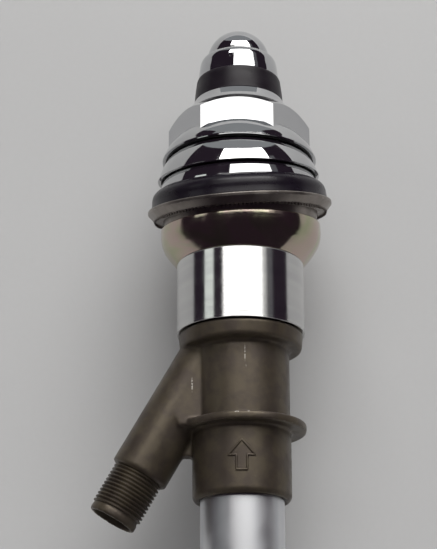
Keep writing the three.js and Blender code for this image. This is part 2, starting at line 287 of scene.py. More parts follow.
def finish(slot, tones, metallic, rough, grain, bump=0.002, worn=None, amount=0.35,
           lines=(0.05, 8.0), cast=(5.0, 0.9), marks=0.06, dust=0.0, gloss=0.5,
           cut_edge=0.0, own=True):
    """A procedural finish.

    tones are the two colours that a slow mottle mixes. grain is "lines" or "cast", with
    its scales in lines or cast, and bump is its depth in millimetres. worn is the colour
    of rubbed corners and amount is how far they are rubbed. marks is how much smudges
    roughen the surface, and cut_edge roughens the corners. own reads the place that each
    point stores; otherwise the finish reads object coordinates, in millimetres.
    """
    material = bpy.data.materials.new(slot + ("" if own else "_inside"))
    material.use_nodes = True
    tree = material.node_tree
    shader = tree.nodes["Principled BSDF"]
    if own:
        place = add_node(tree, "ShaderNodeAttribute", {"attribute_name": "own_place"}).outputs[1]
    else:
        coords = add_node(tree, "ShaderNodeTexCoord")
        place = add_node(tree, "ShaderNodeVectorMath", {"operation": "SCALE"},
                         _0=coords.outputs["Object"], _3=1000.0).outputs[0]
    corner = add_node(tree, "ShaderNodeAttribute", {"attribute_name": "corner"}).outputs[2]
    handled = use_group(tree, smudge_group, Place=place)
    if grain == "cast":
        skin_node = use_group(tree, cast_group, Place=place, Grain=cast[0], Pits=cast[1])
        height, mottle = skin_node.outputs["Height"], skin_node.outputs["Mottle"]
    else:
        line_node = use_group(tree, line_group, Place=place, Across=lines[0], Along=lines[1])
        height, mottle = line_node.outputs["Height"], line_node.outputs["Band"]
    colour = blend_colour(tree, mottle, rgba(tones[0]), rgba(tones[1]))
    rough_now = maths(tree, "MULTIPLY_ADD", handled.outputs["Smudge"], marks, rough)
    if worn:
        mask = use_group(tree, wear_group, Place=place, Corner=corner, Amount=amount)
        colour = blend_colour(tree, mask.outputs["Mask"], colour, rgba(worn))
    if dust:
        dusty = maths(tree, "MULTIPLY", handled.outputs["Dust"], dust)
        colour = blend_colour(tree, dusty, colour, rgba((0.30, 0.28, 0.27)))
        rough_now = maths(tree, "MULTIPLY_ADD", handled.outputs["Hairline"], 0.12, rough_now)
    if cut_edge:
        rough_now = maths(tree, "MULTIPLY_ADD", corner, cut_edge, rough_now)
    bumped = add_node(tree, "ShaderNodeBump", None, _0=1.0, _1=bump * MM, _3=height)
    tree.links.new(colour, shader.inputs["Base Color"])
    tree.links.new(rough_now, shader.inputs["Roughness"])
    tree.links.new(bumped.outputs[0], shader.inputs["Normal"])
    shader.inputs["Metallic"].default_value = metallic
    shader.inputs["Specular IOR Level"].default_value = gloss
    finishes[(slot, own)] = material
    return material


finishes = {}

# %% The finishes
finish("chrome", ((0.58, 0.585, 0.59), (0.54, 0.545, 0.56)), 1.0, 0.035, "lines",
       bump=0.0003, lines=(0.4, 1.2), marks=0.04)
finish("black_rubber", ((0.008, 0.005, 0.010), (0.010, 0.007, 0.013)), 0.0, 0.27, "cast",
       bump=0.004, worn=(0.03, 0.026, 0.033), amount=0.25, cast=(3.5, 1.4), marks=0.06,
       dust=0.1, gloss=0.3)
finish("bright_zinc", ((0.24, 0.215, 0.195), (0.30, 0.27, 0.245)), 1.0, 0.30, "cast",
       bump=0.008, worn=(0.42, 0.40, 0.37), cast=(3.0, 1.1), marks=0.12)
finish("black_nylon", ((0.008, 0.007, 0.009), (0.014, 0.012, 0.015)), 0.0, 0.45, "cast",
       bump=0.006, marks=0.1, gloss=0.3)
finish("black_insulator", ((0.008, 0.005, 0.009), (0.012, 0.008, 0.013)), 0.0, 0.36, "lines",
       bump=0.003, worn=(0.04, 0.034, 0.043), lines=(0.15, 6.0), marks=0.08, dust=0.12,
       gloss=0.25)
finish("turned_aluminium", ((0.64, 0.64, 0.63), (0.57, 0.57, 0.57)), 1.0, 0.10, "lines",
       bump=0.012, worn=(0.8, 0.8, 0.8), lines=(0.05, 4.5), marks=0.04, cut_edge=0.5)
finish("satin_tube", ((0.80, 0.81, 0.83), (0.70, 0.72, 0.75)), 1.0, 0.40, "lines",
       bump=0.004, lines=(2.4, 0.05), marks=0.06)
finish("plated_steel", ((0.52, 0.52, 0.52), (0.44, 0.44, 0.45)), 1.0, 0.32, "lines",
       bump=0.006, worn=(0.7, 0.7, 0.7), marks=0.12)
finish("cream_insulator", ((0.62, 0.58, 0.47), (0.70, 0.66, 0.56)), 0.0, 0.45, "cast",
       bump=0.006, worn=(0.8, 0.77, 0.7), marks=0.12)
finish("brass", ((0.62, 0.46, 0.20), (0.52, 0.37, 0.15)), 1.0, 0.28, "lines",
       bump=0.006, worn=(0.8, 0.65, 0.35), marks=0.15)
finish("mast_nickel", ((0.60, 0.59, 0.56), (0.54, 0.53, 0.50)), 1.0, 0.12, "lines",
       bump=0.0015, worn=(0.75, 0.75, 0.73), lines=(2.0, 0.05), marks=0.08)
for slot, tones, metallic, rough in (
    ("felt", ((0.20, 0.18, 0.15), (0.28, 0.25, 0.21)), 0.0, 0.95),
    ("brass", ((0.62, 0.46, 0.20), (0.52, 0.37, 0.15)), 1.0, 0.3),
    ("black_nylon", ((0.018, 0.017, 0.020), (0.028, 0.026, 0.030)), 0.0, 0.5),
    ("black_rubber", ((0.020, 0.018, 0.022), (0.032, 0.027, 0.034)), 0.0, 0.5),
    ("cream_insulator", ((0.62, 0.58, 0.47), (0.70, 0.66, 0.56)), 0.0, 0.45),
    ("plated_steel", ((0.52, 0.52, 0.52), (0.44, 0.44, 0.45)), 1.0, 0.32),
):
    finish(slot, tones, metallic, rough, "cast", bump=0.02 if slot == "felt" else 0.006,
           own=False)
print(len(finishes), "finishes so far")

# %% [markdown]
# The seat cup is zinc plate with a yellow chromate dip. The dip leaves a thin clear
# film, so the metal goes from straw gold through pink to a faint green from place to
# place. A slow noise picks the tint, which holds still as the piece is turned.

# %% Chromate film
# The pale rubbed-corner colour here also brightens the cup's top rim into a thin light arc: partly
# wear, partly a painted highlight.
film = finish("zinc_chromate", ((0.52, 0.46, 0.38), (0.46, 0.42, 0.34)), 1.0, 0.10, "lines",
              bump=0.0015, lines=(0.10, 5.0), marks=0.08, worn=(0.7, 0.66, 0.6), amount=0.25)
tree = film.node_tree
place = tree.nodes["Attribute"].outputs[1]
drift = add_node(tree, "ShaderNodeTexNoise", None, _0=place, _2=0.10, _3=2.0, _4=0.5, _8=1.2)
tints = tree.nodes.new("ShaderNodeValToRGB")
for position, colour in ((0.30, (0.38, 0.44, 0.24)), (0.42, (0.50, 0.46, 0.34)),
                         (0.52, (0.56, 0.42, 0.39)), (0.62, (0.52, 0.46, 0.36)),
                         (0.74, (0.43, 0.42, 0.39))):
    stop = tints.color_ramp.elements.new(position)
    stop.color = rgba(colour)
for spare in (tints.color_ramp.elements[-1], tints.color_ramp.elements[0]):
    tints.color_ramp.elements.remove(spare)
tree.links.new(drift.outputs[0], tints.inputs[0])
base = tree.nodes["Principled BSDF"].inputs["Base Color"].links[0].from_socket
tinted = blend_colour(tree, 0.75, base, tints.outputs[0])
tree.links.new(tinted, tree.nodes["Principled BSDF"].inputs["Base Color"])
print("chromate film has", len(tints.color_ramp.elements), "tints")

# %% [markdown]
# The housing is a zinc die casting, plated and bronzed to an olive brown. It is half
# way between paint and metal, with rubbed corners and two bright nicks where the
# film is cut through. Four more pale spots are painted highlights: one on the ridge
# where the branch meets the barrel, and three glints on the lit rim of the lower flange.

# %% Bronzed casting
bronzed = finish("bronzed_casting", ((0.080, 0.063, 0.050), (0.106, 0.086, 0.060)), 0.55, 0.36,
                 "cast", bump=0.016, worn=(0.22, 0.19, 0.15), amount=0.42, cast=(4.0, 0.7),
                 marks=0.12)
tree = bronzed.node_tree
place = tree.nodes["Attribute"].outputs[1]
shader = tree.nodes["Principled BSDF"]
colour = shader.inputs["Base Color"].links[0].from_socket
# Centre and size of each spot, in millimetres. The first two are nicks. The third is a painted
# highlight on the ridge by the branch, and the last three are painted glints on the lower flange's
# lit rim.
NICKS_AND_HIGHLIGHTS = (
    ((0.75, -9.4, -33.4), (0.10, 0.6, 2.0)),
    ((0.95, -9.4, -35.9), (0.08, 0.6, 0.5)),
    ((-9.35, -5.6, -38.6), (0.16, 1.0, 1.7)),
    ((-0.9, -12.1, -45.6), (0.55, 0.6, 0.22)),
    ((1.3, -12.1, -45.5), (0.35, 0.6, 0.16)),
    ((3.6, -11.6, -45.6), (0.25, 0.6, 0.10)),
)
broken = add_node(tree, "ShaderNodeTexNoise", None, _0=place, _2=2.6, _3=2.0, _4=0.6)
gaps = ranged(tree, broken.outputs[0], 0.44, 0.56)
# The pale bare-metal colour is real in the two nicks and a painted highlight in the other four
# spots.
for centre, size in NICKS_AND_HIGHLIGHTS:
    nick_and_highlight = use_group(tree, nick_and_highlight_group, Place=place, Centre=centre, Size=size)
    nick_and_highlight_mask = maths(tree, "MULTIPLY", nick_and_highlight.outputs["Mask"], gaps)
    colour = blend_colour(tree, nick_and_highlight_mask, colour, rgba((0.48, 0.45, 0.41)))
tree.links.new(colour, shader.inputs["Base Color"])
print("casting has", len(NICKS_AND_HIGHLIGHTS), "nicks")

# %% [markdown]
# ## Turned shapes
# Most of this object came off a lathe, so most of it is a profile swept round an
# axis. A sharp profile corner would catch no light, so each corner is eased, and the
# surface normals are worked out from the profile: a mirror finish shows every
# faceted normal. Each point also stores how near to a corner it is, for the wear.


# %% Profiles
def ball(radius, r0, r1, steps=24, upper=True):
    """Points on a sphere about the origin, from radius r0 to r1."""
    a0, a1 = math.asin(r0 / radius), math.asin(r1 / radius)
    sign = 1 if upper else -1
    angles = [a0 + (a1 - a0) * i / steps for i in range(steps + 1)]
    return [(radius * math.sin(a), sign * radius * math.cos(a)) for a in angles]


def radius_at(radius, z):
    return math.sqrt(radius * radius - z * z)


def flowing(points, steps=6):
    """A smooth curve through the points, by Catmull and Rom's rule."""
    p = [Vector(q) for q in points]
    p = [p[0] * 2 - p[1]] + p + [p[-1] * 2 - p[-2]]
    path = []
    for i in range(1, len(p) - 2):
        for k in range(steps):
            t = k / steps
            a, b, c, d = p[i - 1: i + 3]
            q = (b * 2 + (c - a) * t + (a * 2 - b * 5 + c * 4 - d) * t * t
                 + (b * 3 - a - c * 3 + d) * t ** 3) / 2
            path.append((q.x, q.y))
    return path + [tuple(points[-1])]


SMOOTH_JOIN = math.radians(16)
EASE_STEPS = 5


def eased(points, easing, closed):
    """Rows of (r, z, tangent r, tangent z, corner) with each real corner rounded."""
    rows, count = [], len(points)
    for i, point in enumerate(points):
        here = Vector(point[:2])
        if not closed and i in (0, count - 1):
            other = Vector(points[1 if i == 0 else -2][:2])
            along = (other - here if i == 0 else here - other).normalized()
            rows.append((*here, *along, 0.0))
            continue
        into = here - Vector(points[i - 1][:2])
        out = Vector(points[(i + 1) % count][:2]) - here
        reach = 0.45 * min(into.length, out.length)
        into.normalize()
        out.normalize()
        turn = into.angle(out)
        if turn < SMOOTH_JOIN:
            rows.append((*here, *(into + out).normalized(), 0.0))
            continue
        size = min(easing * math.tan(turn / 2), reach * 0.7)
        hold = min(max(3 * size, 0.35), reach)
        rows.append((*(here - into * hold), *into, 0.0))
        for k in range(EASE_STEPS + 1):
            t = k / EASE_STEPS
            q = ((here - into * size) * (1 - t) ** 2 + here * 2 * t * (1 - t)
                 + (here + out * size) * t * t)
            tangent = (into * (1 - t) + out * t).normalized()
            rows.append((*q, *tangent, 1.0))
        rows.append((*(here + out * hold), *out, 0.0))
    return rows


# %% Lathe
def area_of(points):
    pairs = zip(points, points[1:] + points[:1])
    return sum(a[0] * b[1] - b[0] * a[1] for a, b in pairs) / 2


def turned(name, profile, segments=160, easing=0.12):
    """A closed mesh in millimetres, swept round Z, with normals from the profile."""
    points = list(profile) if area_of(list(profile)) > 0 else list(profile)[::-1]
    closed = all(p[0] > 1e-9 for p in points)
    if not closed:
        last = next(i for i, p in enumerate(points)
                    if p[0] < 1e-9 and points[(i + 1) % len(points)][0] > 1e-9)
        points = points[last:] + points[:last]
    rows = eased(points, easing, closed)
    angles = np.arange(segments) * 2 * math.pi / segments
    cos, sin = np.cos(angles), np.sin(angles)
    verts, normals, corners, rings = [], [], [], []
    for r, z, tr, tz, corner in rows:
        if r < 1e-9:
            rings.append([len(verts)] * segments)
            verts.append((0, 0, z))
            normals.append((0, 0, 1.0 if z > points[0][1] or tr < 0 else -1.0))
            corners.append(corner)
            continue
        rings.append(list(range(len(verts), len(verts) + segments)))
        verts += [(r * c, r * s, z) for c, s in zip(cos, sin)]
        normals += [(tz * c, tz * s, -tr) for c, s in zip(cos, sin)]
        corners += [corner] * segments
    faces = []
    for i in range(len(rings) if closed else len(rings) - 1):
        a, b = rings[i], rings[(i + 1) % len(rings)]
        for j in range(segments):
            k = (j + 1) % segments
            face = [a[j], a[k], b[k], b[j]]
            faces.append([v for n, v in enumerate(face) if v not in face[:n]])
    mesh = bpy.data.meshes.new(name)
    mesh.from_pydata(verts, [], faces)
    mesh.shade_smooth()
    attribute = mesh.attributes.new("corner", "FLOAT", "POINT")
    attribute.data.foreach_set("value", corners)
    mesh.normals_split_custom_set_from_vertices(normals)
    return mesh


# %% [markdown]
# Pieces are modelled in millimetres about their own axis and then put in place. The
# panel seat leans with the body panel, the ball shells lean a little less, and the
# lead branch runs down and away from the mast.

# %% Placing pieces
LEAN_AZIMUTH = math.radians(-14.5)
SEAT_LEAN = math.radians(13.0)
SHELL_LEAN = math.radians(7.8)
BRANCH_TURN = math.radians(210)
BRANCH_ROOT_Z = -20.65
SCREW_Z = -54

LEAN_AXIS = Vector((math.cos(LEAN_AZIMUTH), math.sin(LEAN_AZIMUTH), 0))
UPRIGHT = Matrix.Identity(4)
SEAT = Matrix.Rotation(SEAT_LEAN, 4, LEAN_AXIS)
SHELLS = Matrix.Rotation(SHELL_LEAN, 4, LEAN_AXIS)
BRANCH = Matrix.Translation((0, 0, BRANCH_ROOT_Z)) @ Matrix.Rotation(BRANCH_TURN, 4, "Y")
SCREW = Matrix.Translation((0, 0, SCREW_Z)) @ Matrix.Rotation(math.radians(-90), 4, "X")


def store_place(mesh):
    """Keeps each point's own place, in millimetres, for the finishes to read."""
    co = np.empty(len(mesh.vertices) * 3, np.float32)
    mesh.vertices.foreach_get("co", co)
    attribute = mesh.attributes.new("own_place", "FLOAT_VECTOR", "POINT")
    attribute.data.foreach_set("vector", co)


def set_in_place(name, mesh, body, slot, nodes=(), matrix=UPRIGHT):
    store_place(mesh)
    mesh.transform(Matrix.Scale(MM, 4) @ matrix)
    mesh.materials.clear()
    mesh.materials.append(finishes[(slot, True)])
    obj = add_object(name, mesh)
    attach(obj, body)
    if nodes:
        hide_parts(*nodes)
    print(f"{name}: {len(mesh.polygons)} faces on {body}")
    return obj


# %% [markdown]
# ## Panel seat
# A chrome ring, a black rubber gasket and a toothed plate clamp the aerial to the
# wing. The gasket is soft, so its corners are eased far more than the metal's.

# %% Chrome ring and gasket
RING_BASE = 4.12
ring = turned("wing_ring", [
    *ball(16.1, radius_at(16.1, RING_BASE), 11.2),
    *ball(15.3, 11.2, radius_at(15.3, RING_BASE)),
], easing=0.06)
set_in_place("wing_ring", ring, "seat", "chrome", ["escutcheon_ring"], SEAT)

gasket = turned("wing_gasket", [
    (11.0, 0), (17.75, 0), (17.62, 0.6),
    *flowing([(17.5, 1.2), (17.4, 2.2), (17.1, 2.95), (16.5, 3.6), (15.66, 4.1)]),
    (11.0, 4.1),
], easing=0.3)
set_in_place("wing_gasket", gasket, "seat", "black_rubber", ["panel_gasket"], SEAT)

# %% Claw plate
claw = turned("claw_plate_disc", [
    (11.2, -0.02), (18.25, -0.02), (18.4, -0.2), (18.4, -0.7), (17.2, -2.1),
    (17.0, -2.1), (radius_at(15.65, -2.1), -2.1),
    *ball(15.65, 15.45, 11.2, upper=False), *ball(14.9, 11.2, 13.6, upper=False),
    (11.2, -4.6),
], easing=0.1)
set_in_place("claw_plate_disc", claw, "seat", "bright_zinc", ["claw_plate"], SEAT)

# %% [markdown]
# The plate's lower edge is cut into small teeth that bite through paint to bare
# metal, which is what earths the aerial. They are one wedge repeated round a circle,
# so Geometry Nodes make them: a circle of points, a wedge on each, and a fixed seed
# that makes the teeth a little uneven.


# %% Geometry Nodes helpers
def geometry_group(name, inputs):
    return new_group(name, "GeometryNodeTree", inputs, {"Geometry": ("Geometry", None)})


def own_position(tree):
    """The x, y and z of each point of the grid or circle."""
    where = add_node(tree, "GeometryNodeInputPosition")
    return add_node(tree, "ShaderNodeSeparateXYZ", None, _0=where.outputs[0]).outputs


def value_by_row(tree, row, values):
    """Gives every row of a grid its own value."""
    node = add_node(tree, "GeometryNodeIndexSwitch", {"data_type": "FLOAT"})
    while len(node.index_switch_items) < len(values):
        node.index_switch_items.new()
    feed(tree, node.inputs[0], row)
    for i, value in enumerate(values):
        feed(tree, node.inputs[i + 1], value)
    return node.outputs[0]


def bend_round(tree, grid, radius, angle, height):
    """Moves the points of a grid to a radius, an angle and a height about Z."""
    bent = add_node(tree, "ShaderNodeCombineXYZ", None,
                    _0=maths(tree, "MULTIPLY", radius, maths(tree, "COSINE", angle)),
                    _1=maths(tree, "MULTIPLY", radius, maths(tree, "SINE", angle)), _2=height)
    moved = add_node(tree, "GeometryNodeSetPosition", None, _0=grid.outputs[0])
    feed(tree, moved.inputs["Position"], bent.outputs[0])
    return moved


def end_tree(tree, shape, material, result):
    """Makes any instances real and gives the shape its finish."""
    real = add_node(tree, "GeometryNodeRealizeInstances", None, _0=shape.outputs[0])
    coated = add_node(tree, "GeometryNodeSetMaterial", None, _0=real.outputs[0])
    feed(tree, coated.inputs["Material"], material)
    feed(tree, result, coated.outputs[0])


def evaluated_mesh(obj):
    """The plain mesh that an object's modifiers, or its curve, make."""
    graph = bpy.context.evaluated_depsgraph_get()
    return bpy.data.meshes.new_from_object(obj.evaluated_get(graph))


def run_nodes(name, group, values):
    """Runs a geometry tree on an empty mesh and returns the plain mesh it makes."""
    holder = add_object(name + "_maker", bpy.data.meshes.new(name + "_maker"))
    modifier = holder.modifiers.new("maker", "NODES")
    modifier.node_group = group
    for item in group.interface.items_tree:
        if item.item_type == "SOCKET" and item.in_out == "INPUT" and item.name in values:
            modifier[item.identifier] = values[item.name]
    mesh = evaluated_mesh(holder)
    holder.modifiers.remove(modifier)
    bpy.data.objects.remove(holder)
    mesh.name = name
    tidy = bmesh.new()
    tidy.from_mesh(mesh)
    bmesh.ops.remove_doubles(tidy, verts=tidy.verts, dist=1e-4)
    bmesh.ops.recalc_face_normals(tidy, faces=tidy.faces)
    tidy.to_mesh(mesh)
    tidy.free()
    return mesh


# %% Claw teeth
teeth, teeth_in, teeth_out = geometry_group("claw_teeth", {
    "Count": ("Int", 132), "Radius": ("Float", 17.15), "Tooth": ("Vector", (0.5, 0.42, 0.5)),
    "Height": ("Float", -2.15), "Seed": ("Int", 5), "Finish": ("Material", None),
})
circle = add_node(teeth, "GeometryNodeMeshCircle", None,
                  _0=teeth_in["Count"], _1=teeth_in["Radius"])
lifted = add_node(teeth, "ShaderNodeCombineXYZ", None, _2=teeth_in["Height"])
spots = add_node(teeth, "GeometryNodeTransform", None, _0=circle.outputs[0])
teeth.links.new(lifted.outputs[0], spots.inputs["Translation"])
wedge = add_node(teeth, "GeometryNodeMeshCone", None, _0=4, _3=0.25, _4=0.72, _5=1.0)
square = add_node(teeth, "GeometryNodeTransform", None, _0=wedge.outputs[0])
square.inputs["Rotation"].default_value = (math.pi, 0, math.pi / 4)
square.inputs["Translation"].default_value = (0, 0, 0.2)
parts = own_position(teeth)
bearing = maths(teeth, "ARCTAN2", parts[1], parts[0])
facing = add_node(teeth, "ShaderNodeCombineXYZ", None, _2=bearing)
uneven = add_node(teeth, "FunctionNodeRandomValue", {"data_type": "FLOAT"}, _2=0.85, _3=1.1)
teeth.links.new(teeth_in["Seed"], uneven.inputs["Seed"])
size = add_node(teeth, "ShaderNodeVectorMath", {"operation": "SCALE"},
                _0=teeth_in["Tooth"], _3=uneven.outputs[1])
placed = teeth.nodes.new("GeometryNodeInstanceOnPoints")
for socket, source in (("Points", spots.outputs[0]), ("Instance", square.outputs[0]),
                       ("Rotation", facing.outputs[0]), ("Scale", size.outputs[0])):
    teeth.links.new(source, placed.inputs[socket])
end_tree(teeth, placed, teeth_in["Finish"], teeth_out["Geometry"])
tooth_mesh = run_nodes("claw_teeth", teeth, {
    "Count": 132, "Radius": 17.15, "Tooth": (0.5, 0.42, 0.5), "Height": -2.15, "Seed": 5,
    "Finish": finishes[("bright_zinc", True)]})
set_in_place("claw_teeth", tooth_mesh, "seat", "bright_zinc", (), SEAT)

# %% [markdown]
# ## Ball shells
# A chrome dome washer above the panel and a gold cup below it share one centre, so
# the mast can lean while the seat stays flat. A thin black liner lets them glide.

# %% Dome washer, liner and cup
EDGE, HOLE = 5.5, 10.6
washer = turned("dome_washer_shell", [
    *ball(17.12, radius_at(17.12, EDGE), HOLE), *ball(16.5, HOLE, radius_at(16.5, EDGE)),
], easing=0.08)
set_in_place("dome_washer_shell", washer, "ball_shells", "chrome", ["dome_washer"], SHELLS)
liner = turned("dome_liner_shell", [
    *ball(16.45, radius_at(16.45, EDGE), HOLE), *ball(16.25, HOLE, radius_at(16.25, EDGE)),
], easing=0.03)
set_in_place("dome_liner_shell", liner, "ball_shells", "black_nylon", ["dome_glide_liner"], SHELLS)
cup = turned("gold_cup", [
    (15.9, -4.5), *flowing([(15.95, -5.2), (15.94, -6.5), (15.75, -7.75), (15.4, -8.78)]),
    *ball(17.75, 15.3, 10.3, upper=False),
    *ball(15.85, 10.3, radius_at(15.85, -4.5), upper=False),
], easing=0.25)
set_in_place("gold_cup", cup, "ball_shells", "zinc_chromate", ["seat_cup"], SHELLS)

# %% [markdown]
# ## Dome nut
# The nut is a turned dome with six spanner flats milled into it, over a spherical
# skirt. That is how it is made here too: a turned blank, a hexagonal cut, and exact
# booleans, so that the flats stay perfectly flat and meet the dome in true arcs.


# %% Boolean helper
def carve(base_mesh, steps):
    """Applies (operation, mesh) steps in turn with exact booleans; returns a new mesh."""
    work = add_object("work", base_mesh)
    tools = []
    for operation, mesh in steps:
        tool = add_object("tool", mesh)
        tool.hide_render = True
        tools.append(tool)
        modifier = work.modifiers.new(operation, "BOOLEAN")
        modifier.operation = operation
        modifier.object = tool
        modifier.solver = "EXACT"
    mesh = evaluated_mesh(work)
    for obj in [work, *tools]:
        bpy.data.objects.remove(obj)
    for name in ("custom_normal", "corner"):
        if name in mesh.attributes:
            mesh.attributes.remove(mesh.attributes[name])
    return mesh


def prism(name, sides, radius, bottom, top, turn=0.0):
    """A straight prism with flat sides, turned about Z by turn radians."""
    ring = [(radius * math.cos(turn + 2 * math.pi * i / sides),
             radius * math.sin(turn + 2 * math.pi * i / sides)) for i in range(sides)]
    return slab(name, ring, bottom, top)


def slab(name, outline, bottom, top):
    """A straight block from an (x, y) outline."""
    n = len(outline)
    verts = [(x, y, bottom) for x, y in outline] + [(x, y, top) for x, y in outline]
    faces = [list(range(n))[::-1], list(range(n, 2 * n))]
    faces += [[i, (i + 1) % n, n + (i + 1) % n, n + i] for i in range(n)]
    mesh = bpy.data.meshes.new(name)
    mesh.from_pydata(verts, [], faces)
    return mesh


# %% Dome nut
HALF_FLATS = 12.4
HEXAGON_TURN = math.radians(-1.8)
CAVITY_RADIUS = 17.2
FINE = {"segments": 192, "easing": 0.02}

crown = turned("crown", [
    (0, 22.5), (8.98, 22.5), (9.07, 22.44), (9.82, 21.0), (9.88, 20.9),
    *flowing([(9.98, 20.76), (10.75, 19.78), (11.6, 19.12), (12.4, 18.5), (13.5, 17.6),
              (14.35, 16.8), (15.2, 15.8)]),
    (15.2, 10.8), (0, 10.8),
], **FINE)
hexagon = prism("hexagon", 6, HALF_FLATS / math.cos(math.pi / 6), 8, 24, HEXAGON_TURN)
skirt = turned("skirt", [
    (0, 15.0),
    *flowing([(11.4, 14.85), (12.4, 14.0), (13.38, 13.1), (14.22, 12.05), (14.93, 10.9),
              (15.5, 9.5)]),
    (15.42, 9.4), (14.75, 9.3), (0, 9.3),
], **FINE)
cavity = turned("cavity", [
    (0, CAVITY_RADIUS), *ball(CAVITY_RADIUS, 0.3, 17.19, 40), (0, 0),
], **FINE)
nut_bore = turned("nut_bore", [(0, 5), (8.1, 5), (8.1, 30), (0, 30)], segments=96, easing=0.01)
nut = carve(crown, [("INTERSECT", hexagon), ("UNION", skirt), ("DIFFERENCE", cavity),
                    ("DIFFERENCE", nut_bore)])
nut.shade_smooth()
nut.set_sharp_from_angle(angle=math.radians(14))
set_in_place("hexagon_dome_nut", nut, "mast_base", "chrome", ["dome_nut"])
glide = turned("nut_glide", [(14.45, 9.34), (14.6, 9.1), (14.85, 9.1), (14.9, 9.34)],
               easing=0.05)
set_in_place("nut_glide", glide, "mast_base", "black_nylon", ["nut_glide_ring"])

# %% [markdown]
# ## Head top
# A black insulator keeps the live mast off the earthed nut. A chrome bell covers it.

# %% Insulator and bell
insulator = turned("black_top_insulator", [
    (4.6, -20), (6.9, -20), (6.9, 22.52), (9.05, 22.52),
    *flowing([(8.98, 23.3), (8.85, 24.8), (8.55, 27.1)]),
    (8.4, 27.48), (6.9, 27.48), (6.9, 28.4), (4.6, 28.4),
], easing=0.12)
set_in_place("black_top_insulator", insulator, "mast_base", "black_insulator",
             ["head_insulator"])
bell = turned("chrome_bell", [
    *flowing([(8.2, 27.5), (8.12, 28.9), (7.97, 30.2), (7.85, 31.0), (7.66, 31.6),
              (7.35, 32.1), (6.9, 32.45), (6.3, 32.62)], 10),
    (4.7, 32.64), (4.6, 32.5), (4.6, 31.4), (6.6, 31.4), (6.6, 28.5), (7.0, 28.5), (7.0, 27.5),
], easing=0.08)
set_in_place("chrome_bell", bell, "mast_base", "chrome", ["head_ferrule"])

# %% [markdown]
# ## Sleeve, tube and plug
# The sleeve is bare turned aluminium. The long tube is drawn, so its fine lines run
# along it, and its foot is closed with a black plug that has a drain spigot.

# %% Sleeve, tube and plug
sleeve = turned("turned_sleeve", [
    *ball(17.95, 12.5, 10.2, 8, upper=False), (10.2, -27.2), (12.43, -27.2), (12.5, -27.13),
], easing=0.3)
set_in_place("turned_sleeve", sleeve, "mast_base", "turned_aluminium", ["spacer_sleeve"])
tube = turned("drawn_tube", [(7.25, -222), (8.0, -222), (8.0, -36.2), (7.25, -36.2)], easing=0.15)
set_in_place("drawn_tube", tube, "mast_base", "satin_tube", ["lower_tube"])
plug = turned("drain_plug", [
    (1.6, -232), (2.6, -232), (2.9, -224.4), (3.3, -224.1), (7.3, -223.85), (7.7, -223.6),
    (7.9, -223.2), (7.9, -222.03), (7.15, -222.03), (7.15, -216.1), (1.6, -216.1)], easing=0.2)
set_in_place("drain_plug", plug, "mast_base", "black_insulator", ["tube_end_plug"])

# %% [markdown]
# ## Cast Y housing
# A die casting has no sharp inside corners: metal has to flow. The blocks and turned
# parts are joined first, then wrapped in an even skin of small faces and relaxed,
# which rounds every inside and outside corner by about a third of a millimetre.


# %% Housing shapes
def side_block(name, outline, half_width):
    """A block from an (x, z) outline, thick along Y."""
    flat = [(x, -z) for x, z in outline]
    mesh = slab(name, flat, -half_width, half_width)
    mesh.transform(Matrix.Rotation(math.radians(-90), 4, "X"))
    if area_of(flat) < 0:
        mesh.flip_normals()
    return mesh


def along_branch(mesh):
    mesh.transform(BRANCH)
    return mesh


barrel = turned("barrel", [
    (0, -27.22), (11.9, -27.25), (12.12, -27.5), (11.85, -30.1), (11.6, -30.4), (9.4, -30.6),
    (9.35, -45.3), (9.5, -46.9), (9.45, -59.5), (8.95, -60.2), (0, -60.2)], 96, 0.2)
flange = turned("flange", [(0, -45.2), (11.75, -45.3), (12.05, -45.6), (12.0, -46.7),
                           (11.95, -46.9), (0, -46.9)], 96, 0.2)
flange.transform(Matrix.Translation((0.45, 0, 0)))
fairing = side_block("fairing", [
    (0, -30), (-5.4, -30), (-13.0, -43.2), (-11.9, -46.5), (0, -46.5)], 5.64)
web = side_block("web", [(0, -46), (-14.6, -46), (-17.4, -51.4), (0, -51.4)], 1.5)
stem = along_branch(turned("stem", [(0, 11.5), (5.66, 11.5), (5.66, 39.0), (5.2, 39.4),
                                    (4.5, 39.45), (4.5, 47.9), (4.7, 48.0), (4.7, 49.15),
                                    (4.45, 49.4), (0, 49.4)], 72, 0.1))
housing_bore = turned("housing_bore", [(0, -62), (8.08, -62), (8.08, -26), (0, -26)], 96, 0.01)
socket_bore = along_branch(turned("socket_bore", [
    (0, 12), (4.0, 12), (4.0, 52), (0, 52)], 64, 0.01))
screw_bore = turned("screw_bore", [(0, 6), (1.6, 6), (1.6, 12), (0, 12)], 40, 0.01)
screw_bore.transform(SCREW)
blank = carve(barrel, [("UNION", flange), ("UNION", fairing), ("UNION", stem), ("UNION", web),
                       ("DIFFERENCE", housing_bore), ("DIFFERENCE", socket_bore),
                       ("DIFFERENCE", screw_bore)])
print("housing blank:", len(blank.polygons), "faces")


# %% Housing skin
def cast_over(mesh, voxel, rounds):
    """An even skin of small faces, relaxed so that every corner is rounded."""
    obj = add_object("skin", mesh)
    remesh = obj.modifiers.new("even", "REMESH")
    remesh.mode = "VOXEL"
    remesh.voxel_size = voxel
    relax = obj.modifiers.new("relax", "SMOOTH")
    relax.factor = 0.5
    relax.iterations = rounds
    made = evaluated_mesh(obj)
    bpy.data.objects.remove(obj)
    return made


def read_vectors(mesh, what):
    values = np.empty(len(mesh.vertices) * 3)
    mesh.vertices.foreach_get(what, values)
    return values.reshape(-1, 3)


